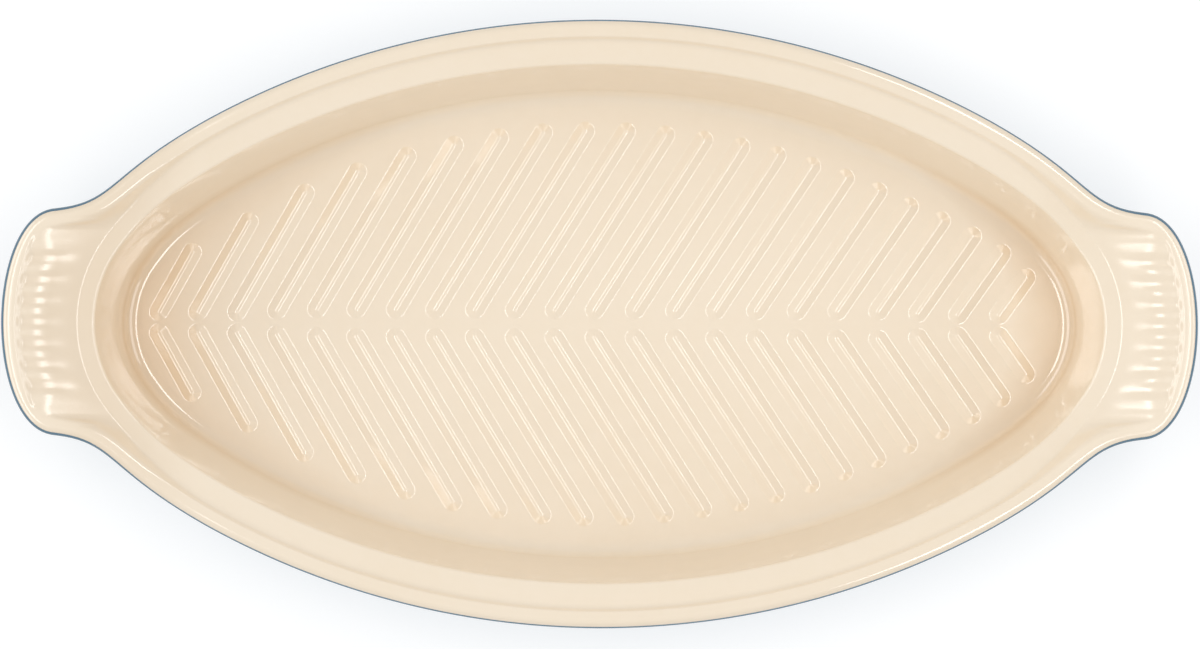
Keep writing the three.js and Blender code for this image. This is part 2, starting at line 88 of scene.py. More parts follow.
LEDGE_BLEND_START = 30.0  # degrees of turn between which the ledge narrows and drops
LEDGE_BLEND_END = 52.0
LEDGE_FALL = 0.5
LEDGE_ROUND = 0.6
SIDE_BROW_RADIUS = 0.9
TIP_BROW_RADIUS = 22.0
SHORT_SLOPE = 2.0  # the brow's radius grows between these lengths of the slope below it
LONG_SLOPE = 6.0
GRIP_RADIUS = 1.2
TOE_RADIUS = 2.5
LEDGE_EDGE_RADIUS = 1.1
MOST_OF_BACK = 0.7  # shares of the straights beside a corner that its round may take
MOST_OF_ONWARD = 0.6

# Walls, floor and foot
WALL_DRAFT = 12.2  # degrees from upright
WALL_THICKNESS = 6.5
FLOOR_HEIGHT = 8.0
FLOOR_FILLET = 5.5
FLOOR_BORDER = 0.5
UNDER_LIP_FILLET = 4.0
BASE_CORNER_HEIGHT = 9.0
FOOT_OVERHANG = 3.2  # foot's outer edge, outside the edge of the floor
FOOT_WIDTH = 5.5
FOOT_SLOPE = 0.8
FOOT_ROUND = 0.7
BASE_RECESS = 1.6
BARE_FOOT_HEIGHT = 1.0

# Fishbone ribs, two arms to each chevron
FIRST_RIB_PITCH = 13.25
LAST_RIB_PITCH = 14.1
RIB_FIRST_INSET = 4.5  # first chevron's point from the -X end of the floor
RIB_LAST_INSET = 23.2  # last chevron's point from the +X end of the floor
FIRST_RIB_ANGLE = 61.0  # degrees from X
LAST_RIB_ANGLE = 54.5
RIB_WIDTH = 7.1
RIB_HEIGHT = 1.1
RIB_FLANK_SLOPE = 0.4  # fall for each length across
RIB_CREST_HALF = 0.5
RIB_CREST_SOFTNESS = 0.42
RIB_FOOT_SOFTNESS = 0.16
RIB_FOOT_LINE = 3.25  # from an arm's middle line to where its foot is seen
RIB_MIDDLE_GAP = 3.0  # between the two arms of a chevron
RIB_END_GAP = 0.8  # the same near both ends of the floor
GAP_OPENS = (31.0, 57.0)  # the gap grows between these distances from the -X end
GAP_CLOSES = (37.0, 65.0)  # and between these distances from the +X end
RIB_SIDE_MARGIN = 5.6  # between an arm and the edge of the floor
RIB_END_MARGIN = 2.0  # the same near both ends of the floor
MARGIN_OPENS = (-9.0, 18.0)  # the margin grows between these distances from the -X end
MARGIN_CLOSES = (23.0, 87.0)  # and between these distances from the +X end
ARM_STEP = 0.25

# Grip flutes across the tops of the handles
FLUTE_COUNT = 8
FLUTE_PITCH = 7.15
FLUTE_DEPTH = 1.0
FLUTE_SPAN = FLUTE_COUNT * FLUTE_PITCH / 2
FLUTE_FADE = 2.0  # reach of the fade on each side of the outermost flute's edge
FLUTE_START = 1.2  # from the foot of the grip step to where the flutes are full
FLUTE_FADE_START = 0.05  # shares of the slope between which the flutes fade out
FLUTE_FADE_END = 0.85

# Glaze coats
GLAZE_THICKNESS = 0.5
CLAY_CLEARANCE = 0.1
SIDE_GLAZE_ANGLE = 36.0  # degrees up the lip's round edge, where blue meets cream
TIP_GLAZE_ANGLE = 50.0
BASE_GLAZE_MARGIN = 0.3
THIN_EDGE_REACH = 2.5
# Rounded edge of the base's coat, as margins from its outline and rises from the recess
BASE_EDGE = (
    (4.0, 0.0), (1.2, 0.0), (0.6, 0.04), (0.25, 0.13),
    (0.05, GLAZE_THICKNESS / 2), (0.0, GLAZE_THICKNESS),
)

# Darker cream at the ends of the floor, partly where the glaze lies thick and partly painted shade beside
# the end walls:
# each pool is the sign of its end of the floor, its reach from that end and its share
POOLS_AND_SHADE = ((-1.0, 34.0, 0.5), (1.0, 16.0, 0.6))
POOL_AND_SHADE_END_RADIUS = 40.0
POOL_AND_SHADE_TOP = 11.0
POOL_AND_SHADE_TOP_FADE = 8.0
END_SHADE_START = 135.0  # painted shade: the left end darkens between these distances from the middle
END_SHADE_FULL = 165.0
END_SHADE_SHARE = 0.25
END_SHADE_TOP = 47.5
END_SHADE_TOP_FADE = 3.5

# Softer glints: both ends grow rougher between these distances from the middle
SOFT_END_START = 155.0
SOFT_END_FULL = 178.0
SOFT_END_ROUGHNESS = 0.13

# Colours and sheen
CREAM = (0.9, 0.774, 0.608)
CREAM_DRIFT = (0.885, 0.752, 0.578)
CREAM_MOTTLE = (0.915, 0.794, 0.638)
CREAM_MOTTLE_SHARE = 0.35
# Darker cream for thick glaze and painted shade at the floor's ends, and for painted shade at the left end
CREAM_POOLED_AND_SHADED = (0.7, 0.5, 0.3)
CREAM_ROUGHNESS = (0.06, 0.1)
CREAM_IOR = 1.7
CREAM_SPECULAR = 1.0
BLUE = (0.05, 0.138, 0.21)
BLUE_DRIFT = (0.066, 0.165, 0.25)
BLUE_MOTTLE = (0.12, 0.21, 0.31)
BLUE_MOTTLE_RANGE = (0.42, 0.75)
BLUE_MOTTLE_SHARE = 0.3
BLUE_THIN = (0.22, 0.3, 0.36)
BLUE_THIN_SHARE = 0.3
BLUE_ROUGHNESS = (0.12, 0.2)
BLUE_SPECULAR = 0.3
CLAY = (0.69, 0.55, 0.37)
CLAY_DRIFT = (0.62, 0.48, 0.31)
CLAY_SPECK = (0.36, 0.26, 0.16)
CLAY_SPECK_RANGE = (0.62, 0.75)
CLAY_SPECK_SHARE = 0.6
CLAY_ROUGHNESS = (0.75, 0.92)
NOISE_RANGE = (0.3, 0.7)  # most of a noise lies between these values

# Table and room
TABLE_REACH = 4.0  # metres
TABLE_COLOUR = (0.55, 0.52, 0.49, 1.0)
TABLE_ROUGHNESS = 0.9
TABLE_SPECULAR = 0.1
TABLE_GLOW_COLOUR = (0.88, 0.93, 0.98, 1.0)
TABLE_GLOW = 0.61
ROOM_COLOUR = (1.0, 1.0, 1.0, 1.0)
ROOM_LIGHT = 0.59

# Soft lamps: name, lean from upright in degrees, size in metres, watts, distance in metres
LAMPS = (
    ("left_panel", -63.0, (1.2, 5.0), 27.0, 3.0),
    ("right_panel", 63.0, (0.6, 1.6), 3.8, 1.6),
    ("left_strip", -22.0, (0.3, 0.95), 3.0, 1.4),
    ("right_strip", 19.5, (0.24, 1.7), 4.6, 1.4),
)

# Camera
CAMERA_ABOVE_RIM = 1500.0
VIEW_WIDTH = 401.3
CAMERA_ROLL = 0.24  # degrees
CAMERA_OFFSET = (0.17, -0.17)

# Fineness of the meshes
SIDE_STEPS = 32
HANDLE_SIDE_STEPS = 28
FLUTE_STEPS = 44
OUTLINE_SAMPLES = 400
FLOOR_EDGE_SAMPLES = 240
BISECTION_STEPS = 40
CAP_POINTS = 13
# Loops round a rib arm, as shares of its half width
RIB_FOOT_LOOPS = (1.0, 0.965, 0.94, 0.915, 0.89, 0.865, 0.84, 0.815, 0.79, 0.765)
RIB_CREST_LOOPS = (0.52, 0.28, 0.245, 0.21, 0.175, 0.14, 0.105, 0.07, 0.03)
LIP_ARC_POINTS = 7
UNDER_LIP_POINTS = 8
UNDER_LIP_STEPS = 5
OUTER_LIP_POINTS = 12
OUTER_WALL_STEPS = 4
BASE_CORNER_POINTS = 10
# Points on the straight before a corner of a section, and points round the corner
SHARP_POINTS = (0, 1)
GRIP_POINTS = (1, 4)
BROW_POINTS = (5, 10)
TOE_POINTS = (7, 6)
LEDGE_EDGE_POINTS = (1, 7)
FLOOR_FILLET_POINTS = (3, 10)
FOOT_POINTS = (1, 5)
FOOT_END_POINTS = (1, 1)
SMALLEST_BEND = 1e-9


def blend(first, second, share):
    return first + (second - first) * share


def ease(value, low, high):
    share = min(max((value - low) / (high - low), 0.0), 1.0)
    return share * share * (3.0 - 2.0 * share)


def bisect(low, high, is_before):
    """Where a test that starts true turns false."""
    for _ in range(BISECTION_STEPS):
        middle = (low + high) / 2
        if is_before(middle):
            low = middle
        else:
            high = middle
    return (low + high) / 2


# The oval: a side arc, a shoulder arc and an end arc that meet smoothly.
# A place on it is named by its turn, the angle between its normal and +Y.
def oval_arcs():
    side_turn = math.radians(SIDE_ARC_END)
    end_turn = math.radians(END_ARC_START)
    length_left = OVAL_LENGTH / 2 - END_RADIUS * (1 - math.sin(end_turn))
    width_left = OVAL_WIDTH / 2 - END_RADIUS * math.cos(end_turn)
    side_run = math.sin(side_turn)
    side_drop = 1 - math.cos(side_turn)
    shoulder_run = math.sin(end_turn) - math.sin(side_turn)
    shoulder_drop = math.cos(side_turn) - math.cos(end_turn)
    scale = side_run * shoulder_drop - shoulder_run * side_drop
    side_radius = (length_left * shoulder_drop - shoulder_run * width_left) / scale
    shoulder_radius = (side_run * width_left - length_left * side_drop) / scale
    return (
        (0.0, side_turn, side_radius),
        (side_turn, end_turn, shoulder_radius),
        (end_turn, QUARTER_TURN, END_RADIUS),
    )


OVAL_ARCS = oval_arcs()


def oval_place(turn, inset=0.0):
    normal = np.array([math.sin(turn), math.cos(turn)])
    point = np.array([0.0, OVAL_WIDTH / 2])
    for start, end, radius in OVAL_ARCS:
        reached = min(max(turn, start), end)
        point[0] += radius * (math.sin(reached) - math.sin(start))
        point[1] -= radius * (math.cos(start) - math.cos(reached))
    return point - inset * normal, normal


# One quarter of the handle's outline, from its root on the oval to its tip
def ahead(point, degrees, reach):
    angle = math.radians(degrees)
    return point + reach * np.array([math.cos(angle), -math.sin(angle)])


ROOT_TURN = math.radians(HANDLE_ROOT_TURN)
HANDLE_ROOT = oval_place(ROOT_TURN)[0]
HANDLE_WAIST = np.array([OVAL_LENGTH / 2, HANDLE_WIDTH / 2])
HANDLE_TIP = np.array([OVAL_LENGTH / 2 + HANDLE_REACH, 0.0])
HANDLE_CURVES = (
    (
        HANDLE_ROOT,
        ahead(HANDLE_ROOT, HANDLE_ROOT_TURN, ROOT_PULL),
        ahead(HANDLE_WAIST, HANDLE_TAPER, -WAIST_PULL),
        HANDLE_WAIST,
    ),
    (
        HANDLE_WAIST,
        ahead(HANDLE_WAIST, HANDLE_TAPER, CORNER_PULL),
        np.array([HANDLE_TIP[0], TIP_PULL]),
        HANDLE_TIP,
    ),
)


def handle_edge(way):
    """Place and outward normal on a handle's outline, from its root (0) to its tip (1)."""
    half = 0 if way < 0.5 else 1
    first, second, third, fourth = HANDLE_CURVES[half]
    share = way * 2 - half
    rest = 1 - share
    point = rest**3 * first + 3 * rest**2 * share * second + 3 * rest * share**2 * third + share**3 * fourth
    tangent = rest**2 * (second - first) + 2 * rest * share * (third - second) + share**2 * (fourth - third)
    tangent = tangent / np.linalg.norm(tangent)
    return point, np.array([-tangent[1], tangent[0]])


def outline_points():
    side = [oval_place(turn)[0] for turn in np.linspace(0.0, ROOT_TURN, OUTLINE_SAMPLES)]
    handle = [handle_edge(way)[0] for way in np.linspace(0.0, 1.0, OUTLINE_SAMPLES)]
    return np.array(side + handle)


OUTLINE = outline_points()


def edge_distance(point):
    return np.sqrt(((OUTLINE - np.abs(point)) ** 2).sum(axis=1).min())


def lip_height(x):
    return SIDE_HEIGHT + HANDLE_RISE * ease(abs(x), HANDLE_ROOT[0], HANDLE_TIP[0])


# A station is one section across the rim: the crest of the lip's round edge, the
# brow where its top turns down, and the seat line at the toe of that slope
def make_station(edge, edge_normal, seat, seat_normal, turn):
    crest = edge - LIP_RADIUS * edge_normal
    brow_inset = blend(TIP_BROW_INSET, SIDE_BROW_INSET, ease(crest[1], TIP_BROW_START, TIP_BROW_END))
    run = np.linalg.norm(seat - crest)
    brow_way = bisect(0.0, 1.0, lambda way: edge_distance(blend(crest, seat, way)) < brow_inset)
    return SimpleNamespace(
        edge=edge, edge_normal=edge_normal, crest=crest, seat=seat, seat_normal=seat_normal,
        turn=turn, run=run, brow_run=run * brow_way,
    )


def side_station(turn):
    edge, normal = oval_place(turn)
    return make_station(edge, normal, oval_place(turn, LIP_WIDTH)[0], normal, turn)


def crest_y(way):
    edge, normal = handle_edge(way)
    return edge[1] - LIP_RADIUS * normal[1]


def handle_station(way):
    edge, normal = handle_edge(way)
    root_crest_y = crest_y(0.0)
    root_seat_y = oval_place(ROOT_TURN, LIP_WIDTH)[0][1]
    shift = max(0.0, (crest_y(way) - FLUTE_SPAN) / (root_crest_y - FLUTE_SPAN))
    seat_y = crest_y(way) - (root_crest_y - root_seat_y) * shift**2
    turn = bisect(ROOT_TURN, QUARTER_TURN, lambda tried: oval_place(tried, LIP_WIDTH)[0][1] > seat_y)
    seat, seat_normal = oval_place(turn, LIP_WIDTH)
    return make_station(edge, normal, seat, seat_normal, turn)


def quarter_stations():
    """Stations from the middle of the +Y side to the +X tip."""
    stations = [side_station(ROOT_TURN * step / SIDE_STEPS) for step in range(SIDE_STEPS)]
    flutes_reach = FLUTE_SPAN + FLUTE_FADE
    flutes_way = bisect(0.0, 1.0, lambda way: crest_y(way) > flutes_reach)
    for step in range(HANDLE_SIDE_STEPS):
        stations.append(handle_station(flutes_way * step / HANDLE_SIDE_STEPS))
    for step in range(FLUTE_STEPS):
        wanted_y = flutes_reach * (1 - step / FLUTE_STEPS)
        stations.append(handle_station(bisect(0.0, 1.0, lambda way: crest_y(way) > wanted_y)))
    stations.append(handle_station(1.0))
    return stations


def wall_section(turn):
    """Section through the wall and floor, as insets from the seat line."""
    end_share = ease(turn, math.radians(LEDGE_BLEND_START), math.radians(LEDGE_BLEND_END))
    draft = math.radians(WALL_DRAFT)
    ledge_inset = blend(SIDE_LEDGE_WIDTH, END_LEDGE_WIDTH, end_share)
    toe_height = SIDE_HEIGHT - blend(SIDE_STEP_DROP, END_STEP_DROP, end_share)
    ledge_height = toe_height - LEDGE_FALL
    wall_top = ledge_height - 2 * LEDGE_ROUND

    def inner_inset(height):
        return ledge_inset + LEDGE_ROUND + (wall_top - height) * math.tan(draft)

    fillet_top = FLOOR_HEIGHT + FLOOR_FILLET * (1 - math.sin(draft))
    return SimpleNamespace(
        toe_height=toe_height, ledge_height=ledge_height, inner_inset=inner_inset,
        outer_inset=lambda height: inner_inset(height) - WALL_THICKNESS,
        floor_inset=inner_inset(fillet_top) + FLOOR_FILLET * math.cos(draft),
    )


def rounded_path(corners):
    """Points along a polyline with rounded corners. Each corner is its place, its
    radius, the points on the straight before it and the points round it."""
    places = [np.array(corner[0], float) for corner in corners]
    path = [places[0]]
    for index in range(1, len(corners)):
        _, radius, straight_points, round_points = corners[index]
        here = places[index]
        back = here - places[index - 1]
        back_length = np.linalg.norm(back)
        back = back / back_length
        start = here
        arc = [here]
        if index + 1 < len(corners):
            onward = places[index + 1] - here
            onward_length = np.linalg.norm(onward)
            onward = onward / onward_length
            swing = math.atan2(back[0] * onward[1] - back[1] * onward[0], float(back @ onward))
            half_tan = math.tan(abs(swing) / 2)
            reach = min(radius * half_tan, MOST_OF_BACK * back_length, MOST_OF_ONWARD * onward_length)
            start = here - reach * back
            sideways = math.copysign(1.0, swing) * np.array([-back[1], back[0]])
            bend = reach / max(half_tan, SMALLEST_BEND)
            angles = np.linspace(0.0, abs(swing), round_points)
            arc = [start + bend * (math.sin(a) * back + (1 - math.cos(a)) * sideways) for a in angles]
        last = path[-1]
        for step in range(1, straight_points + 1):
            path.append(blend(last, start, step / (straight_points + 1)))
        path.extend(arc)
    return path


def place_inset(station, inset, height):
    place = station.seat - inset * station.seat_normal
    return [place[0], place[1], height, 0.0, 0.0]


def lip_edge_point(station, degrees, thinness):
    angle = math.radians(degrees)
    place = station.edge - LIP_RADIUS * (1 - math.cos(angle)) * station.edge_normal
    height = lip_height(station.edge[0]) - LIP_RADIUS * (1 - math.sin(angle))
    return [place[0], place[1], height, 0.0, thinness]


def glaze_line(station):
    """Angle round the lip's edge, in degrees, where the blue glaze meets the cream."""
    tip_share = ease(abs(station.edge[0]), HANDLE_ROOT[0], HANDLE_TIP[0])
    return blend(SIDE_GLAZE_ANGLE, TIP_GLAZE_ANGLE, tip_share)


def cream_profile(station):
    """Section of the cream side at a station, from the line where blue meets cream, over
    the lip, brow, ledge and wall, to the edge of the floor. Each row holds the place, the
    weight of the flutes and how thin the glaze is."""
    section = wall_section(station.turn)
    rows = []
    for degrees in np.linspace(glaze_line(station), LIP_TOP_ANGLE, LIP_ARC_POINTS)[:-1]:
        rows.append(lip_edge_point(station, degrees, 0.0))

    tip_share = 1 - ease(station.crest[1], TIP_BROW_START, TIP_BROW_END)
    grip = GRIP_STEP * (1 - ease(station.crest[1], GRIP_START, GRIP_END))
    brow = blend(station.crest, station.seat, station.brow_run / station.run)
    crest_height = lip_height(station.edge[0])
    brow_height = lip_height(brow[0]) - LIP_FALL
    slope_run = station.run - station.brow_run
    slope_share = ease(slope_run, SHORT_SLOPE, LONG_SLOPE)
    brow_radius = blend(SIDE_BROW_RADIUS, TIP_BROW_RADIUS, slope_share)
    grip_edge = GRIP_EDGE_WAY * station.brow_run
    grip_edge_height = blend(crest_height, brow_height, GRIP_EDGE_WAY)
    grip_foot = GRIP_FOOT_WAY * station.brow_run
    grip_foot_height = blend(crest_height, brow_height, GRIP_FOOT_WAY) - grip
    ledge_edge = station.run + section.inner_inset(section.ledge_height)
    wall_corner = station.run + section.inner_inset(FLOOR_HEIGHT)
    floor_start = station.run + section.floor_inset
    corners = [
        ((0.0, crest_height), 0.0, *SHARP_POINTS),
        ((grip_edge, grip_edge_height), GRIP_RADIUS, *GRIP_POINTS),
        ((grip_foot, grip_foot_height), GRIP_RADIUS, *GRIP_POINTS),
        ((station.brow_run, brow_height - grip), brow_radius, *BROW_POINTS),
        ((station.run, section.toe_height), TOE_RADIUS, *TOE_POINTS),
        ((ledge_edge, section.ledge_height), LEDGE_EDGE_RADIUS, *LEDGE_EDGE_POINTS),
        ((wall_corner, FLOOR_HEIGHT), FLOOR_FILLET, *FLOOR_FILLET_POINTS),
        ((floor_start + FLOOR_FILLET, FLOOR_HEIGHT), 0.0, *SHARP_POINTS),
    ]
    sideways_share = 1 - ease(station.crest[1], FLUTE_SPAN - FLUTE_FADE, FLUTE_SPAN + FLUTE_FADE)
    fade_start = station.brow_run + FLUTE_FADE_START * slope_run
    fade_end = station.brow_run + FLUTE_FADE_END * slope_run
    floor_border = (floor_start + FLOOR_BORDER, FLOOR_HEIGHT)
    for run, height in rounded_path(corners)[:-1] + [floor_border]:
        if run <= station.run:
            place = blend(station.crest, station.seat, run / station.run)
        else:
            place = station.seat - (run - station.run) * station.seat_normal
        start_share = ease(run, grip_edge, grip_foot + FLUTE_START)
        flute = tip_share * sideways_share * start_share * (1 - ease(run, fade_start, fade_end))
        rows.append([place[0], place[1], height, flute, 0.0])
    return rows


def foot_profile(station):
    """Section of the bare foot ring, from the recessed base to where the blue glaze starts."""
    foot_outer = wall_section(station.turn).floor_inset - FOOT_OVERHANG
    foot_inner = foot_outer + FOOT_WIDTH
    corners = [
        ((foot_inner + FOOT_SLOPE, BASE_RECESS + GLAZE_THICKNESS), 0.0, *SHARP_POINTS),
        ((foot_inner, 0.0), FOOT_ROUND, *FOOT_POINTS),
        ((foot_outer, 0.0), FOOT_ROUND, *FOOT_POINTS),
        ((foot_outer - FOOT_SLOPE, BARE_FOOT_HEIGHT), 0.0, *FOOT_END_POINTS),
    ]
    return [place_inset(station, inset, height) for inset, height in rounded_path(corners)]


def blue_profile(station):
    """Section of the blue outside, from just above the foot to the line where it meets cream."""
    section = wall_section(station.turn)
    rows = []
    corner_start = section.floor_inset - FOOT_OVERHANG - FOOT_SLOPE
    corner_end = section.outer_inset(BASE_CORNER_HEIGHT)
    for angle in np.linspace(0.0, QUARTER_TURN, BASE_CORNER_POINTS):
        inset = blend(corner_start, corner_end, math.sin(angle))
        height = blend(BASE_CORNER_HEIGHT, BARE_FOOT_HEIGHT, math.cos(angle))
        rows.append(place_inset(station, inset, height))
    underside = SIDE_HEIGHT - LIP_THICKNESS
    fillet_foot = underside - UNDER_LIP_FILLET
    outer_top = section.outer_inset(fillet_foot)
    for step in range(1, OUTER_WALL_STEPS):
        share = step / OUTER_WALL_STEPS
        height = blend(BASE_CORNER_HEIGHT, fillet_foot, share)
        rows.append(place_inset(station, blend(corner_end, outer_top, share), height))
    for angle in np.linspace(0.0, QUARTER_TURN, UNDER_LIP_POINTS):
        inset = outer_top - UNDER_LIP_FILLET * (1 - math.cos(angle))
        rows.append(place_inset(station, inset, fillet_foot + UNDER_LIP_FILLET * math.sin(angle)))
    start = np.array(rows[-1])
    end = np.array(lip_edge_point(station, LIP_UNDERSIDE_ANGLE, 0.0))
    for step in range(1, UNDER_LIP_STEPS):
        rows.append(list(blend(start, end, step / UNDER_LIP_STEPS)))
    line_angle = glaze_line(station)
    for degrees in np.linspace(LIP_UNDERSIDE_ANGLE, line_angle, OUTER_LIP_POINTS):
        to_line = math.radians(line_angle - degrees) * LIP_RADIUS
        rows.append(lip_edge_point(station, degrees, 1 - ease(to_line, 0.0, THIN_EDGE_REACH)))
    return rows


def whole_rings(stations, profile):
    """Rings of a section all round the dish, anticlockwise from the +X tip."""
    quarter = np.array([profile(station) for station in stations])
    backward = quarter[::-1]

    def flipped(rows, sign_x, sign_y):
        return rows[:-1] * np.array([sign_x, sign_y, 1.0, 1.0, 1.0])

    whole = np.concatenate([
        flipped(backward, 1.0, 1.0),
        flipped(quarter, -1.0, 1.0),
        flipped(backward, -1.0, -1.0),
        flipped(quarter, 1.0, -1.0),
    ])
    return whole.transpose(1, 0, 2)


# Arms of the fishbone, each as the straight middle line of a round-ended rib
def floor_edge():
    turns = np.linspace(0.0, QUARTER_TURN, FLOOR_EDGE_SAMPLES)
    return np.array([oval_place(turn, LIP_WIDTH + wall_section(turn).floor_inset)[0] for turn in turns])


def rib_arms():
    edge = floor_edge()
    floor_end = edge[-1][0]

    def clearance(point):
        folded = np.abs(point)
        nearest = edge[((edge - folded) ** 2).sum(axis=1).argmin()]
        if (nearest**2).sum() < (folded**2).sum():
            return 0.0
        return np.linalg.norm(nearest - folded)

    span = 2 * floor_end - RIB_FIRST_INSET - RIB_LAST_INSET
    mean_pitch = (FIRST_RIB_PITCH + LAST_RIB_PITCH) / 2
    last_rib = round(span / mean_pitch)
    arms = []
    for rib in range(last_rib + 1):
        share = rib / last_rib
        from_start = RIB_FIRST_INSET + span * share * blend(FIRST_RIB_PITCH / mean_pitch, 1.0, share)
        from_end = 2 * floor_end - from_start
        gap = blend(RIB_END_GAP, RIB_MIDDLE_GAP, ease(from_start, *GAP_OPENS) * ease(from_end, *GAP_CLOSES))
        margin_share = ease(from_start, *MARGIN_OPENS) * ease(from_end, *MARGIN_CLOSES)
        margin = blend(RIB_END_MARGIN, RIB_SIDE_MARGIN, margin_share)
        angle = math.radians(blend(FIRST_RIB_ANGLE, LAST_RIB_ANGLE, share))
        origin = np.array([from_start - floor_end, 0.0])
        along = np.array([math.cos(angle), math.sin(angle)])
        start = (gap / 2 + RIB_FOOT_LINE) / along[1]
        end = start + RIB_WIDTH / 2
        while clearance(origin + (end + RIB_FOOT_LINE + ARM_STEP) * along) >= margin:
            end += ARM_STEP
        for side in (1.0, -1.0):
            mirror = np.array([1.0, side])
            arms.append(((origin + start * along) * mirror, (origin + end * along) * mirror))
    return arms


def rib_loop(arm, reach):
    """Anticlockwise loop at a distance round the middle line of an arm."""
    start, end = arm
    along = (end - start) / np.linalg.norm(end - start)
    across = np.array([-along[1], along[0]])
    swings = np.linspace(0.0, math.pi, CAP_POINTS)
    far = [end + reach * (math.sin(swing) * along - math.cos(swing) * across) for swing in swings]
    near = [start - reach * (math.sin(swing) * along - math.cos(swing) * across) for swing in swings]
    return far + near


class Sheet:
    """Points and faces of one piece, with what its relief and glaze need at each point."""

    def __init__(self):
        self.points = []
        self.faces = []
        self.from_crest = []
        self.flute = []
        self.thinness = []
        self.coated = []

    def add_ring(self, rows, from_crest=RIB_WIDTH / 2, coated=1.0):
        first = len(self.points)
        for x, y, height, flute, thinness in rows:
            self.points.append((x * MM, y * MM, height * MM))
            self.flute.append(flute)
            self.thinness.append(thinness)
            self.from_crest.append(from_crest * MM)
            self.coated.append(coated)
        return range(first, len(self.points))

    def join(self, first, second):
        count = len(first)
        for index in range(count):
            following = (index + 1) % count
            self.faces.append((first[index], first[following], second[following], second[index]))

    def loft(self, rings, coated=1.0, start=None):
        """Adds rings and joins them in turn, after the ring of numbers in start if it is given."""
        before = start
        for ring in rings:
            numbers = self.add_ring(ring, coated=coated)
            if before is not None:
                self.join(before, numbers)
            before = numbers
        return before

    def close_down(self, numbers):
        self.faces.append(tuple(reversed(numbers)))

    def close_up(self, numbers):
        self.faces.append(tuple(numbers))

    def add_ribbed_floor(self, edge_numbers, arms):
        """Fills a ring with the level floor, and lays the loops of each arm in it."""
        outlines = [[Vector(self.points[number]) for number in edge_numbers]]
        numbers = list(edge_numbers)
        height = self.points[edge_numbers[0]][2] / MM
        for arm in arms:
            before = None
            for share in RIB_FOOT_LOOPS + RIB_CREST_LOOPS:
                reach = share * RIB_WIDTH / 2
                loop = rib_loop(arm, reach)
                ring = self.add_ring([(*place, height, 0.0, 0.0) for place in loop], from_crest=reach)
                if before is None:
                    outlines.append([Vector(self.points[number]) for number in ring])
                    numbers.extend(ring)
                else:
                    self.join(before, ring)
                before = ring
            self.close_up(before)
        for triangle in tessellate_polygon(outlines):
            corners = [numbers[corner] for corner in triangle]
            first, second, third = (Vector(self.points[corner]) for corner in corners)
            if (second - first).cross(third - first).z < 0:
                corners.reverse()
            self.faces.append(tuple(corners))

    def make_object(self, name):
        mesh = bpy.data.meshes.new(name)
        mesh.from_pydata(self.points, [], self.faces)
        for label in ("from_crest", "flute", "thinness", "coated"):
            attribute = mesh.attributes.new(label, "FLOAT", "POINT")
            attribute.data.foreach_set("value", getattr(self, label))
        mesh.polygons.foreach_set("use_smooth", [True] * len(mesh.polygons))
        mesh.update()
        piece = bpy.data.objects.new(name, mesh)
        bpy.context.scene.collection.objects.link(piece)
        return piece


# Node trees, for shapes and for materials
def add_node(tree, kind, settings=None, inputs=None):
    """A new node. An input that is given a socket is linked to it, and any other is set."""
    node = tree.nodes.new(kind)
    for name, value in (settings or {}).items():
        setattr(node, name, value)
    for name, value in (inputs or {}).items():
        if isinstance(value, bpy.types.NodeSocket):
            tree.links.new(value, node.inputs[name])
        else:
            node.inputs[name].default_value = value
    return node


def add_math(tree, operation, first, second=0.0, third=0.0):
    node = add_node(tree, "ShaderNodeMath", {"operation": operation}, {0: first, 1: second, 2: third})
    return node.outputs[0]


def relief_tree(name, sizes):
    """A geometry tree with a geometry input and a named input for each size."""
    tree = bpy.data.node_groups.new(name, "GeometryNodeTree")
    tree.interface.new_socket("Dish", in_out="INPUT", socket_type="NodeSocketGeometry")
    for label in sizes:
        tree.interface.new_socket(label, in_out="INPUT", socket_type="NodeSocketFloat")
    tree.interface.new_socket("Dish", in_out="OUTPUT", socket_type="NodeSocketGeometry")
    entry = tree.nodes.new("NodeGroupInput")
    return tree, entry


def point_value(tree, label):
    kind = "GeometryNodeInputNamedAttribute"
    return add_node(tree, kind, {"data_type": "FLOAT"}, {"Name": label}).outputs[0]


def end_relief(tree, entry, lift, material):
    """Moves each point by its lift, then realizes, sets the material and ends the tree."""
    offset = add_node(tree, "ShaderNodeCombineXYZ", None, {"Z": lift}).outputs[0]
    moved = add_node(
        tree, "GeometryNodeSetPosition", None, {"Geometry": entry.outputs["Dish"], "Offset": offset},
    )
    real = add_node(tree, "GeometryNodeRealizeInstances", None, {"Geometry": moved.outputs[0]})
    finished = add_node(
        tree, "GeometryNodeSetMaterial", None, {"Geometry": real.outputs[0], "Material": material},
    )
    leave = tree.nodes.new("NodeGroupOutput")
    tree.links.new(finished.outputs[0], leave.inputs[0])


def fishbone_tree(material):
    """Raises the ribs: a narrow crest, even flanks and a small fillet at the foot."""
    sizes = ("Rib height", "Flank slope", "Crest half width", "Crest softness", "Foot softness")
    tree, entry = relief_tree("Fishbone ribs", sizes)
    height, slope, crest_half, crest_softness, foot_softness = (entry.outputs[label] for label in sizes)
    past_crest = add_math(tree, "SUBTRACT", point_value(tree, "from_crest"), crest_half)
    run = add_math(tree, "SMOOTH_MAX", past_crest, 0.0, crest_softness)
    fall = add_math(tree, "MULTIPLY", run, slope)
    lift = add_math(tree, "SMOOTH_MAX", add_math(tree, "SUBTRACT", height, fall), 0.0, foot_softness)
    end_relief(tree, entry, lift, material)
    return tree


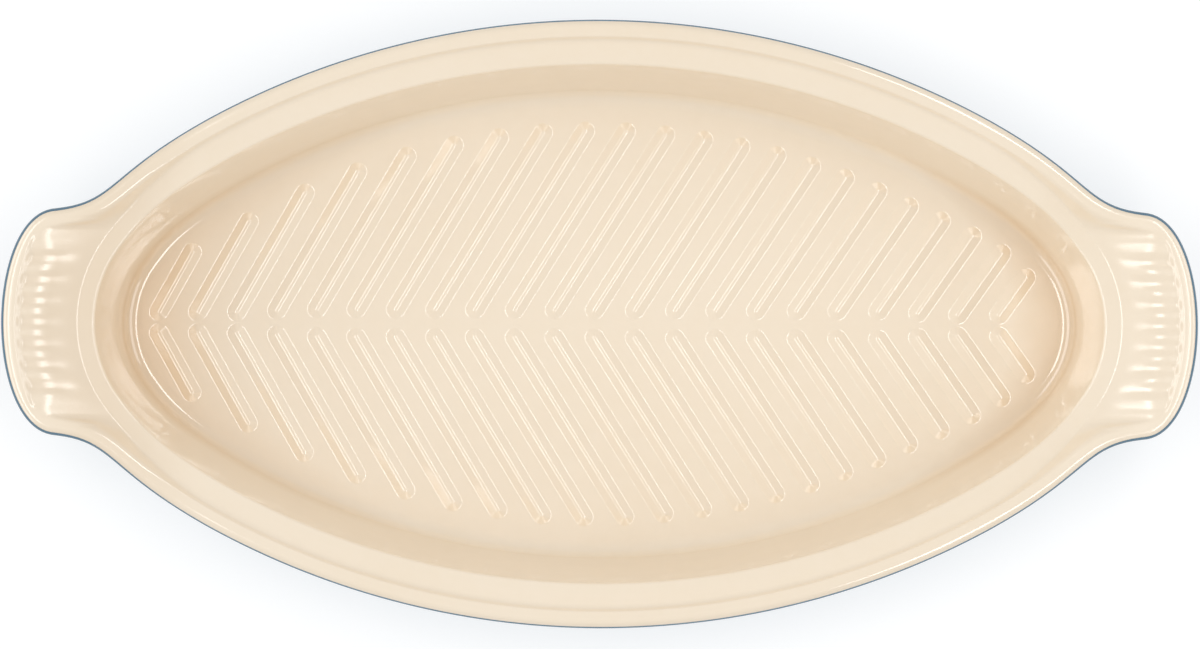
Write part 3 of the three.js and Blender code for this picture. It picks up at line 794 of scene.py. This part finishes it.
def flute_tree(material):
    """Presses the grip flutes: rounded lobes with rounded grooves between them."""
    tree, entry = relief_tree("Handle flutes", ("Flute depth", "Flute pitch"))
    position = add_node(tree, "GeometryNodeInputPosition").outputs[0]
    across = add_node(tree, "ShaderNodeSeparateXYZ", None, {0: position}).outputs["Y"]
    turns = add_math(tree, "DIVIDE", across, entry.outputs["Flute pitch"])
    wave = add_math(tree, "SINE", add_math(tree, "MULTIPLY", turns, math.pi))
    squared = add_math(tree, "MULTIPLY", wave, wave)
    groove = add_math(tree, "SUBTRACT", squared, 1.0)
    weighted = add_math(tree, "MULTIPLY", groove, point_value(tree, "flute"))
    lift = add_math(tree, "MULTIPLY", weighted, entry.outputs["Flute depth"])
    end_relief(tree, entry, lift, material)
    return tree


def add_relief(piece, tree, sizes):
    modifier = piece.modifiers.new(tree.name, "NODES")
    modifier.node_group = tree
    for item in tree.interface.items_tree:
        if item.in_out == "INPUT" and item.name in sizes:
            modifier[item.identifier] = sizes[item.name]


def press_relief(piece, material):
    add_relief(piece, fishbone_tree(material), {
        "Rib height": RIB_HEIGHT * MM,
        "Flank slope": RIB_FLANK_SLOPE,
        "Crest half width": RIB_CREST_HALF * MM,
        "Crest softness": RIB_CREST_SOFTNESS * MM,
        "Foot softness": RIB_FOOT_SOFTNESS * MM,
    })
    add_relief(piece, flute_tree(material), {
        "Flute depth": FLUTE_DEPTH * MM, "Flute pitch": FLUTE_PITCH * MM,
    })


def add_thickness(piece, thickness):
    solid = piece.modifiers.new("Glaze thickness", "SOLIDIFY")
    solid.thickness = thickness * MM
    solid.offset = -1.0
    solid.use_rim = True


def settle(piece, material, node):
    """Makes the modifiers' result the piece's own mesh, and puts the piece in the frame."""
    evaluated = piece.evaluated_get(bpy.context.evaluated_depsgraph_get())
    mesh = bpy.data.meshes.new_from_object(evaluated)
    piece.modifiers.clear()
    piece.data = mesh
    mesh.name = piece.name
    mesh.materials.clear()
    mesh.materials.append(material)
    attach(piece, "root")
    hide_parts(node)


# Finishes
def new_finish(name):
    material = bpy.data.materials.new(name)
    material.use_nodes = True
    tree = material.node_tree
    return material, tree, tree.nodes["Principled BSDF"]


def object_place(tree):
    return add_node(tree, "ShaderNodeTexCoord").outputs["Object"]


def object_axes(tree):
    return add_node(tree, "ShaderNodeSeparateXYZ", None, {0: object_place(tree)}).outputs


def object_noise(tree, scale, detail, roughness=0.5):
    noise = add_node(
        tree, "ShaderNodeTexNoise", None,
        {"Vector": object_place(tree), "Scale": scale, "Detail": detail, "Roughness": roughness},
    )
    return noise.outputs["Fac"]


def colour_mix(tree, share, first, second):
    """Mixes two colours by a share. A colour is a tuple or a socket."""
    mix = add_node(tree, "ShaderNodeMix", {"data_type": "RGBA"}, {0: share})
    for number, colour in ((6, first), (7, second)):
        if isinstance(colour, bpy.types.NodeSocket):
            tree.links.new(colour, mix.inputs[number])
        else:
            mix.inputs[number].default_value = (*colour, 1.0)
    return mix.outputs[2]


def value_range(tree, value, from_low, from_high, to_low, to_high):
    ranged = add_node(
        tree, "ShaderNodeMapRange", None,
        {"Value": value, "From Min": from_low, "From Max": from_high, "To Min": to_low, "To Max": to_high},
    )
    return ranged.outputs[0]


def noise_range(tree, noise, low, high):
    return value_range(tree, noise, *NOISE_RANGE, low, high)


def surface_value(tree, label):
    return add_node(tree, "ShaderNodeAttribute", {"attribute_name": label}).outputs["Fac"]


def add_bump(tree, shader, height, strength, distance):
    bump = add_node(
        tree, "ShaderNodeBump", None, {"Height": height, "Strength": strength, "Distance": distance * MM},
    )
    tree.links.new(bump.outputs[0], shader.inputs["Normal"])


def pooled_glaze_and_painted_shade(tree):
    """Share of the darker colour at the ends of the floor, partly where the glaze lies thick and partly
    painted shade beside the end walls, and of painted shade over the left end below its lip."""
    axes = object_axes(tree)
    across = add_math(tree, "MULTIPLY", axes["Y"], axes["Y"])
    curve = add_math(tree, "DIVIDE", across, 2 * POOL_AND_SHADE_END_RADIUS * MM)
    floor_end = floor_edge()[-1][0] * MM
    low = value_range(tree, axes["Z"], POOL_AND_SHADE_TOP * MM, (POOL_AND_SHADE_TOP + POOL_AND_SHADE_TOP_FADE) * MM, 1.0, 0.0)
    # Painted shade over the left end, below the top of its lip
    full_x = -END_SHADE_FULL * MM
    start_x = -END_SHADE_START * MM
    end = value_range(tree, axes["X"], full_x, start_x, END_SHADE_SHARE, 0.0)
    shade_top = END_SHADE_TOP + END_SHADE_TOP_FADE
    below = value_range(tree, axes["Z"], END_SHADE_TOP * MM, shade_top * MM, 1.0, 0.0)
    share = add_math(tree, "MULTIPLY", end, below)
    # Ends of the floor: darker for thick glaze and for painted shade beside the end walls
    for sign, reach, most in POOLS_AND_SHADE:
        along = add_math(tree, "ADD", add_math(tree, "MULTIPLY", axes["X"], sign), curve)
        near = value_range(tree, along, floor_end - reach * MM, floor_end, 0.0, most)
        share = add_math(tree, "ADD", share, add_math(tree, "MULTIPLY", near, low))
    return share


def soft_ends(tree):
    """Roughness that the glaze gains toward both handles, where its glints are softer."""
    along = add_math(tree, "ABSOLUTE", object_axes(tree)["X"])
    return value_range(tree, along, SOFT_END_START * MM, SOFT_END_FULL * MM, 0.0, SOFT_END_ROUGHNESS)


def cream_glaze():
    material, tree, shader = new_finish("cream_glaze")
    drift = noise_range(tree, object_noise(tree, scale=11.0, detail=2.0), 0.0, 1.0)
    fine_noise = object_noise(tree, scale=170.0, detail=4.0, roughness=0.6)
    mottle = noise_range(tree, fine_noise, 0.0, CREAM_MOTTLE_SHARE)
    broad = colour_mix(tree, drift, CREAM, CREAM_DRIFT)
    mottled = colour_mix(tree, mottle, broad, CREAM_MOTTLE)
    # Darker cream at the floor's ends for thick glaze and painted shade, and painted shade over the left
    # end
    colour = colour_mix(tree, pooled_glaze_and_painted_shade(tree), mottled, CREAM_POOLED_AND_SHADED)
    tree.links.new(colour, shader.inputs["Base Color"])
    gloss = noise_range(tree, object_noise(tree, scale=60.0, detail=3.0), *CREAM_ROUGHNESS)
    tree.links.new(add_math(tree, "ADD", gloss, soft_ends(tree)), shader.inputs["Roughness"])
    shader.inputs["IOR"].default_value = CREAM_IOR
    shader.inputs["Specular IOR Level"].default_value = CREAM_SPECULAR
    add_bump(tree, shader, object_noise(tree, scale=240.0, detail=3.0), strength=0.05, distance=0.3)
    return material


def blue_glaze():
    material, tree, shader = new_finish("blue_glaze")
    drift = noise_range(tree, object_noise(tree, scale=16.0, detail=3.0), 0.0, 1.0)
    deep = colour_mix(tree, drift, BLUE, BLUE_DRIFT)
    fine_noise = object_noise(tree, scale=260.0, detail=5.0, roughness=0.65)
    mottle = value_range(tree, fine_noise, *BLUE_MOTTLE_RANGE, 0.0, BLUE_MOTTLE_SHARE)
    body = colour_mix(tree, mottle, deep, BLUE_MOTTLE)
    thin = value_range(tree, surface_value(tree, "thinness"), 0.0, 1.0, 0.0, BLUE_THIN_SHARE)
    tree.links.new(colour_mix(tree, thin, body, BLUE_THIN), shader.inputs["Base Color"])
    gloss = noise_range(tree, object_noise(tree, scale=70.0, detail=3.0), *BLUE_ROUGHNESS)
    tree.links.new(gloss, shader.inputs["Roughness"])
    shader.inputs["Specular IOR Level"].default_value = BLUE_SPECULAR
    add_bump(tree, shader, object_noise(tree, scale=200.0, detail=3.0), strength=0.06, distance=0.3)
    return material


def bare_stoneware():
    material, tree, shader = new_finish("bare_stoneware")
    grain = object_noise(tree, scale=900.0, detail=6.0, roughness=0.7)
    drift = noise_range(tree, object_noise(tree, scale=20.0, detail=3.0), 0.0, 1.0)
    clay = colour_mix(tree, drift, CLAY, CLAY_DRIFT)
    specks = value_range(tree, grain, *CLAY_SPECK_RANGE, 0.0, CLAY_SPECK_SHARE)
    tree.links.new(colour_mix(tree, specks, clay, CLAY_SPECK), shader.inputs["Base Color"])
    tree.links.new(noise_range(tree, grain, *CLAY_ROUGHNESS), shader.inputs["Roughness"])
    add_bump(tree, shader, grain, strength=0.35, distance=0.25)
    return material


# The dish
def build_dish():
    cream = cream_glaze()
    blue = blue_glaze()
    clay = bare_stoneware()
    stations = quarter_stations()
    cream_rings = whole_rings(stations, cream_profile)
    blue_rings = whole_rings(stations, blue_profile)
    foot_rings = whole_rings(stations, foot_profile)
    arms = rib_arms()

    inside = Sheet()
    inside.add_ribbed_floor(inside.loft(cream_rings), arms)
    cream_coat = inside.make_object("cream_inside_coat")
    press_relief(cream_coat, cream)
    add_thickness(cream_coat, GLAZE_THICKNESS)
    settle(cream_coat, cream, "interior_glaze")

    outside = Sheet()
    outside.loft(blue_rings)
    blue_coat = outside.make_object("blue_outside_coat")
    add_thickness(blue_coat, GLAZE_THICKNESS)
    settle(blue_coat, blue, "exterior_glaze")

    settle(base_panel(foot_rings[0]), blue, "base_glaze")

    body = Sheet()
    foot_end = body.loft(foot_rings, coated=0.0)
    body.close_down(range(len(foot_rings[0])))
    lip_start = body.loft(blue_rings[1:], start=foot_end)
    body.add_ribbed_floor(body.loft(cream_rings[1:], start=lip_start), arms)
    clay_body = body.make_object("clay_body")
    press_relief(clay_body, clay)
    sink_under_glaze(clay_body)
    settle(clay_body, clay, "stoneware_body")


def sink_under_glaze(piece):
    """Takes the clay back from the finished surface wherever a coat covers it."""
    group = piece.vertex_groups.new(name="coated")
    coated = piece.data.attributes["coated"].data
    group.add([number for number, entry in enumerate(coated) if entry.value > 0.5], 1.0, "REPLACE")
    sink = piece.modifiers.new("Under the glaze", "DISPLACE")
    sink.strength = -(GLAZE_THICKNESS + CLAY_CLEARANCE) * MM
    sink.mid_level = 0.0
    sink.vertex_group = "coated"


def base_panel(edge_ring):
    """Glaze on the recessed base, with a rounded edge all round where it stops."""
    sheet = Sheet()
    reach = np.linalg.norm(edge_ring[:, :2], axis=1)

    def level(margin, rise):
        ring = edge_ring.copy()
        ring[:, :2] *= (1 - (margin + BASE_GLAZE_MARGIN) / reach)[:, None]
        ring[:, 2] = BASE_RECESS + rise
        return ring

    last = sheet.loft([level(margin, rise) for margin, rise in BASE_EDGE])
    sheet.close_down(range(len(edge_ring)))
    sheet.close_up(last)
    return sheet.make_object("blue_base_coat")


# Table, light and camera
def white_table():
    mesh = bpy.data.meshes.new("white_table")
    signs = ((-1, -1), (1, -1), (1, 1), (-1, 1))
    corners = [(TABLE_REACH * sign_x, TABLE_REACH * sign_y, 0.0) for sign_x, sign_y in signs]
    mesh.from_pydata(corners, [], [(0, 1, 2, 3)])
    table = bpy.data.objects.new("white_table", mesh)
    bpy.context.scene.collection.objects.link(table)
    material, tree, shader = new_finish("white_table")
    shader.inputs["Base Color"].default_value = TABLE_COLOUR
    shader.inputs["Roughness"].default_value = TABLE_ROUGHNESS
    shader.inputs["Specular IOR Level"].default_value = TABLE_SPECULAR
    rays = add_node(tree, "ShaderNodeLightPath")
    seen = add_math(tree, "MAXIMUM", rays.outputs["Is Camera Ray"], rays.outputs["Is Transmission Ray"])
    seen = add_math(tree, "MAXIMUM", seen, rays.outputs["Is Glossy Ray"])
    shader.inputs["Emission Color"].default_value = TABLE_GLOW_COLOUR
    tree.links.new(add_math(tree, "MULTIPLY", seen, TABLE_GLOW), shader.inputs["Emission Strength"])
    mesh.materials.append(material)


def softbox(name, lean, size, watts, distance):
    """A soft lamp that looks at the middle of the rim, turned about Y by its lean in degrees."""
    lamp = bpy.data.lights.new(name, "AREA")
    lamp.shape = "RECTANGLE"
    lamp.size, lamp.size_y = size
    lamp.energy = watts
    box = bpy.data.objects.new(name, lamp)
    turn = Euler((0.0, math.radians(lean), 0.0))
    box.rotation_euler = turn
    rim_middle = Vector((0.0, 0.0, SIDE_HEIGHT * MM))
    box.location = rim_middle + turn.to_matrix() @ Vector((0.0, 0.0, distance))
    bpy.context.scene.collection.objects.link(box)


def studio_light():
    for lamp in LAMPS:
        softbox(*lamp)
    world = bpy.data.worlds.new("white_room")
    world.use_nodes = True
    bpy.context.scene.world = world
    background = world.node_tree.nodes["Background"]
    background.inputs["Color"].default_value = ROOM_COLOUR
    background.inputs["Strength"].default_value = ROOM_LIGHT


def overhead_camera():
    camera = bpy.data.cameras.new("overhead_camera")
    camera.lens = camera.sensor_width * CAMERA_ABOVE_RIM / VIEW_WIDTH
    holder = bpy.data.objects.new("overhead_camera", camera)
    offset_x, offset_y = CAMERA_OFFSET
    holder.location = (offset_x * MM, offset_y * MM, (SIDE_HEIGHT + CAMERA_ABOVE_RIM) * MM)
    holder.rotation_euler = (0.0, 0.0, math.radians(CAMERA_ROLL))
    bpy.context.scene.collection.objects.link(holder)
    bpy.context.scene.camera = holder


bpy.context.scene.view_settings.view_transform = "Standard"
build_dish()
white_table()
studio_light()
overhead_camera()
